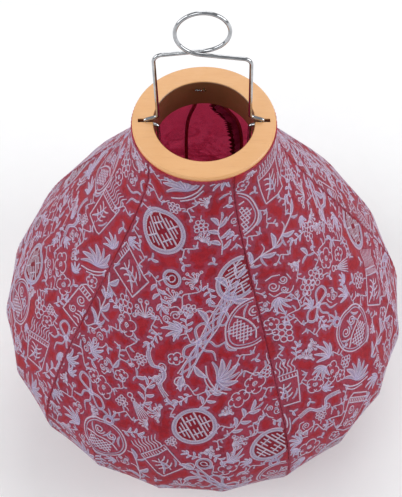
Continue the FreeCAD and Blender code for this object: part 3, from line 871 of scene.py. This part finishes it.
def rib_strip(index, look):
    """A bamboo strip bent along its curve, its ends in the rings' slots."""
    azimuth = FIRST_RIB + index * BAY
    inward = np.array([math.cos(HEM_SLOPE), math.sin(HEM_SLOPE)])
    sides = []
    for offset in (-0.3, -RIB_THICK):
        line = rib_curve(RIM - 0.2 + offset, offset)
        top = np.array([[line[0, 0], RING_TOP - 3.8]])
        bottom = line[-1:] - inward * 7.4
        sides.append(Meridian(np.vstack([top, line, bottom])))
    count = 170
    at = [np.linspace(0, side.length, count) for side in sides]
    front, back = [np.stack([side.read(t, side.points[:, 0]), side.read(t, side.points[:, 1])], 1)
                   for side, t in zip(sides, at)]
    half, round_off = RIB_WIDTH / 2, 0.35
    outline = []
    for a, b in ((front, back), (back, front)):
        toward = (b - a) / (RIB_THICK - 0.3)
        turn = 1 if a is front else -1
        outline += [(a + toward * round_off, -turn * half), (a, -turn * (half - round_off)),
                    (a, turn * (half - round_off)), (a + toward * round_off, turn * half)]
    rows = []
    for line, shift in outline:
        x = line[:, 0] * math.cos(azimuth) - shift * math.sin(azimuth)
        y = line[:, 0] * math.sin(azimuth) + shift * math.cos(azimuth)
        rows.append(np.stack([x, y, line[:, 1]], -1))
    points = np.stack(rows + rows[:1], 1)[:, :-1]
    n = len(rows)
    ring_index = np.arange(count * n).reshape(count, n)
    after = np.roll(ring_index, -1, axis=1)
    walls = np.stack([ring_index[:-1], after[:-1], after[1:], ring_index[1:]], -1).reshape(-1, 4)
    ends = [ring_index[0, ::-1].tolist(), ring_index[-1].tolist()]
    faces = walls.tolist() + ends
    obj = mesh_object(f"bamboo_rib_{index + 1:02d}", points.reshape(-1, 3), faces, [look], False)
    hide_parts(f"rib_{index + 1:02d}")
    follow_ring(obj)
    return obj


FLAP_WIDE, FLAP_NARROW = 11.4, 6.4
FLAP_START, FLAP_STOP = 62.0, 424.0


def seam_flap(panel, looks):
    """Two frayed edges of cloth that stand together inside a seam, the narrow one turned over."""
    chance = np.random.default_rng(panel + 5)
    s = np.arange(FLAP_START, FLAP_STOP, 1.2)
    parts, faces, slots, first = [], [], [], 0
    columns = 9
    layers = ((FLAP_WIDE, (-0.35, -1.6), 2.6), (FLAP_NARROW, (-0.8, -3.6), 1.0))
    for index, (reach, lifts, fray) in enumerate(layers):
        teeth = (s / (9.0 + 2 * index) + 0.35 * np.sin(s / 9 + panel)) % 1.0
        torn = 1.4 * np.abs(teeth - 0.5) * 2 - 0.9 + 0.25 * np.sin(s / 17 + panel)
        ragged = reach + fray * torn + chance.uniform(-0.3, 0.3, len(s))
        t = np.linspace(0, 1, columns)
        across = 1.9 + (ragged[:, None] - 1.9) * t
        waves = 1 + 0.35 * np.sin(s / 13 + 2 * panel)[:, None]
        curl = lifts[0] + (lifts[1] - lifts[0]) * t ** 1.6 * waves
        k = across / chord(s)[:, None]
        rows = s[:, None] * np.ones(columns)
        outer = cloth_point(panel, k, rows, curl - CLOTH)
        inner = cloth_point(panel, k, rows, curl - CLOTH - 0.25)
        parts += [outer.reshape(-1, 3), inner.reshape(-1, 3)]
        strip = shell_faces(len(s), columns)
        faces.append(strip + first)
        slots += [index] * len(strip)
        first += 2 * len(s) * columns
    obj = mesh_object(f"frayed_flap_{panel + 1}", np.vstack(parts), np.vstack(faces), looks)
    obj.data.polygons.foreach_set("material_index", slots)
    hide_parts(f"seam_flap_{panel + 1}")
    follow_ring(obj)
    return obj


def twisted_tail(look):
    """The short twisted end of the binding wire, where it comes through the ring's wall."""
    start = np.array([-1.8, BORE - 1.0, RING_TOP - 8.0])
    end = np.array([-6.4, BORE - 1.9, RING_TOP - 6.6])
    axis = (end - start) / np.linalg.norm(end - start)
    side = np.cross(axis, [0, 0, 1.0])
    side /= np.linalg.norm(side)
    up = np.cross(side, axis)
    around = np.linspace(0, TAU, 9)[:-1]
    parts, faces, first = [], [], 0
    for strand in (0, math.pi):
        t = np.linspace(0, 1, 40)
        turn = strand + t * 3.2 * TAU
        winding = np.cos(turn)[:, None] * side + np.sin(turn)[:, None] * up
        centre = start + (end - start) * t[:, None] + 0.4 * winding
        section = np.cos(around)[:, None] * side + np.sin(around)[:, None] * up
        tube = centre[:, None] + 0.38 * section[None]
        parts.append(tube.reshape(-1, 3))
        index = first + np.arange(tube.shape[0] * 8).reshape(-1, 8)
        after = np.roll(index, -1, axis=1)
        faces.append(np.stack([index[:-1], after[:-1], after[1:], index[1:]], -1).reshape(-1, 4))
        for ends in (index[0, ::-1], index[-1]):
            faces.append(np.array([ends[[0, 1, 2, 3]], ends[[0, 3, 4, 7]], ends[[4, 5, 6, 7]]]))
        first += len(index) * 8
    obj = mesh_object("twisted_wire_end", np.vstack(parts), np.vstack(faces), [look])
    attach(obj, "top_ring_group")
    return obj


def paint(node, material):
    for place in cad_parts[node].material_slots:
        place.material = material


def build_object():
    ground, figures, underside = brocade_ground(), brocade_figures(), lining()
    strip = bamboo()
    # Painted shade: the frayed edge's dark reds stand for the shade of the doubled cloth inside the seam,
    # which lets little light through.
    frayed = [seam_cloth("frayed_edge", colour(70, 12, 28), colour(120, 36, 60), (0.2, 0.03, 0.06)),
              seam_cloth("turned_edge", colour(170, 110, 150), colour(216, 176, 206), (0.7, 0.4, 0.6))]
    wood, bright, dull = ring_wood(), chrome(), steel()
    ribs = [rib_strip(index, strip) for index in range(PANELS * BAYS)]
    for panel in range(PANELS):
        strokes = panel_strokes(panel)
        cloth = cloth_panel(panel, strokes, ground, underside)
        raised = figure_sheet(panel, strokes, figures)
        flap = seam_flap(panel, frayed)
    for node in ("top_ring", "bottom_ring"):
        paint(node, wood)
    for node in ("top_binding_wire", "bottom_binding_wire"):
        paint(node, dull)
    paint("wire_frame", bright)
    twisted_tail(bright)


# ---------------------------------------------------------------- camera, floor and light

def aim(obj, at):
    direction = Vector(at) - obj.location
    obj.rotation_euler = direction.to_track_quat("-Z", "Y").to_euler()


def build_camera():
    data = bpy.data.cameras.new("camera")
    data.lens = 80.55
    data.sensor_width = 36.0
    camera = bpy.data.objects.new("camera", data)
    camera.location = (-0.0021, -0.4914, RING_TOP * MM + 0.5971)
    camera.rotation_euler = (math.radians(32.88), 0, 0)
    bpy.context.scene.collection.objects.link(camera)
    bpy.context.scene.camera = camera


def build_floor():
    look = Look("pale_floor")
    fine = look.noise(look.place(), 60.0, 3.0)
    look.set(Base_Color=look.mix(fine, (0.95, 0.95, 0.95, 1), (0.98, 0.98, 0.98, 1)),
             Roughness=look.step(fine, 0.3, 0.7, 0.8, 0.9))
    half = 3000.0
    corners = np.array([(-half, -half, 0), (half, -half, 0), (half, half, 0), (-half, half, 0)], float)
    mesh_object("floor", corners, np.array([[0, 1, 2, 3]]), [look.material], False)


# Each lamp: name, place and size in metres, power in watts.
LAMPS = [
    ("key", (-0.6, -0.9, 1.7), 0.9, 7.5),
    ("right", (1.4, -0.2, 0.9), 1.0, 12),
    ("left", (-1.4, -0.1, 0.9), 1.0, 9),
    ("back", (0.2, 1.4, 1.3), 1.2, 11),
]


def build_light():
    world = bpy.data.worlds.new("studio")
    world.use_nodes = True
    world.node_tree.nodes["Background"].inputs[0].default_value = (0.95, 0.97, 1.0, 1)
    world.node_tree.nodes["Background"].inputs[1].default_value = 0.4
    bpy.context.scene.world = world
    middle = (0, 0, 0.2)
    for name, place, size, power in LAMPS:
        data = bpy.data.lights.new(name, "AREA")
        data.size = size
        data.energy = power
        lamp = bpy.data.objects.new(name, data)
        lamp.location = place
        aim(lamp, middle)
        bpy.context.scene.collection.objects.link(lamp)


bpy.context.scene.view_settings.view_transform = "Standard"
build_camera()
build_object()
build_floor()
build_light()
